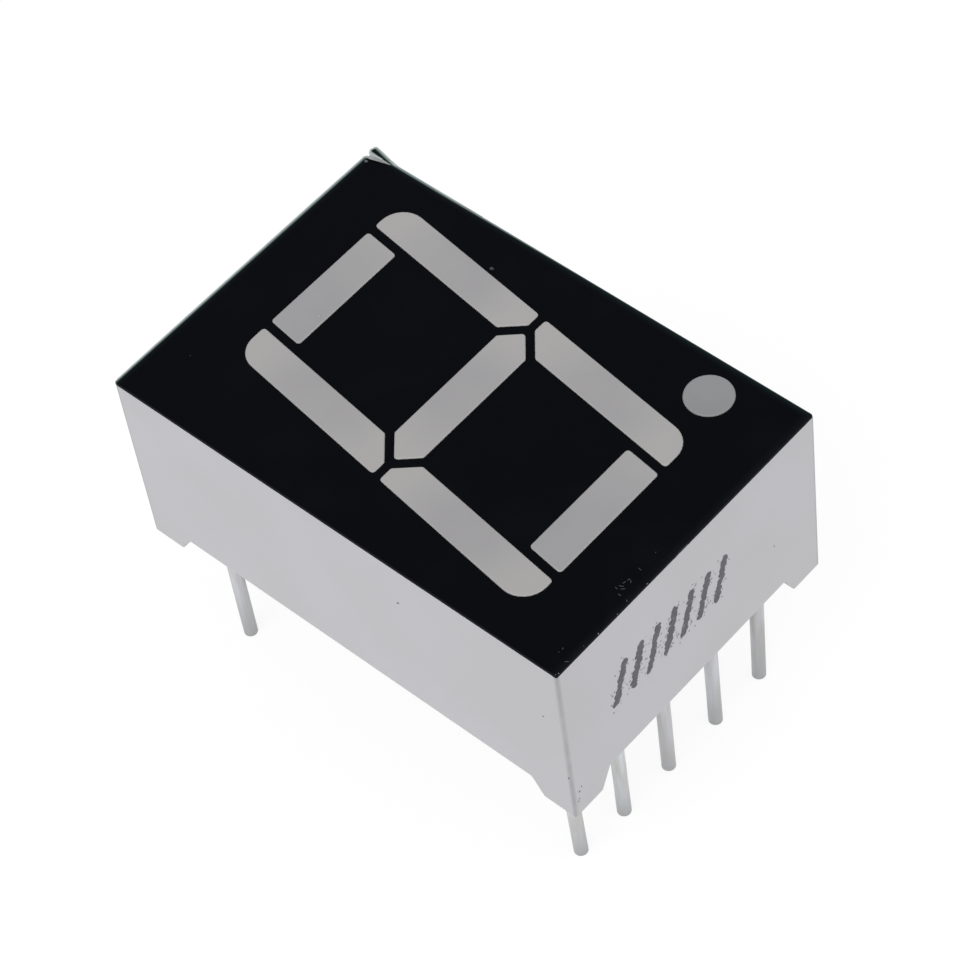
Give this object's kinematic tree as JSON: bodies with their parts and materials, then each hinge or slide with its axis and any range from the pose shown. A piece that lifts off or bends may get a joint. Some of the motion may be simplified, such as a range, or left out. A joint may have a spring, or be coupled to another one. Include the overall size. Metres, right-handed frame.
{
  "type": "seven segment display",
  "caption": "Single digit LED display with slanted bars and a round decimal point in a white housing with a black face, on round pins in two rows.",
  "frame": {"origin": "centre of the rectangle of the four corner pins, on the seating plane, which is the plane of the undersides of the four corner feet. The housing's centre stands 0.05 mm to the left of it and 0.04 mm above it, as the digit is read.", "axes": "+X is the digit's right, along the pin rows; +Y is the digit's top, along the long sides; +Z is the way the digit faces, away from the circuit board it is soldered to"},
  "size_m": [0.0126, 0.019, 0.0151],
  "materials": {
    "housing_plastic": "moulded white thermoplastic, satin, faintly grey",
    "black_film": "matt black printed film with crisp die-cut edges and fine handling marks",
    "milky_resin": "cast translucent grey-white epoxy, smooth, slightly uneven",
    "point_resin": "cast translucent grey-white epoxy, a little darker than the bars",
    "board_laminate": "bare yellowish glass-epoxy laminate",
    "copper": "etched copper foil, slightly tarnished",
    "led_chip": "polished semiconductor die",
    "gold_wire": "bright drawn gold wire",
    "tinned_pin": "tin plated steel wire, satin with fine draw lines",
    "solder": "reflowed solder, soft grey shine",
    "back_resin": "poured milky epoxy with a flat surface that climbs around the pins"
  },
  "bodies": {
    "root": {"housing": "housing_plastic", "face_film": "black_film", "segment_a": "milky_resin", "segment_b": "milky_resin", "segment_c": "milky_resin", "segment_d": "milky_resin", "segment_e": "milky_resin", "segment_f": "milky_resin", "segment_g": "milky_resin", "decimal_point": "point_resin", "circuit_board": "board_laminate", "copper_tracks": "copper", "led_chip_a": "led_chip", "led_chip_b": "led_chip", "led_chip_c": "led_chip", "led_chip_d": "led_chip", "led_chip_e": "led_chip", "led_chip_f": "led_chip", "led_chip_g": "led_chip", "led_chip_point": "led_chip", "bond_wire_a": "gold_wire", "bond_wire_b": "gold_wire", "bond_wire_c": "gold_wire", "bond_wire_d": "gold_wire", "bond_wire_e": "gold_wire", "bond_wire_f": "gold_wire", "bond_wire_g": "gold_wire", "bond_wire_point": "gold_wire", "pin_1": "tinned_pin", "pin_2": "tinned_pin", "pin_3": "tinned_pin", "pin_4": "tinned_pin", "pin_5": "tinned_pin", "pin_6": "tinned_pin", "pin_7": "tinned_pin", "pin_8": "tinned_pin", "pin_9": "tinned_pin", "pin_10": "tinned_pin", "solder_joints": "solder", "back_resin": "back_resin"}
  },
  "joints": []
}
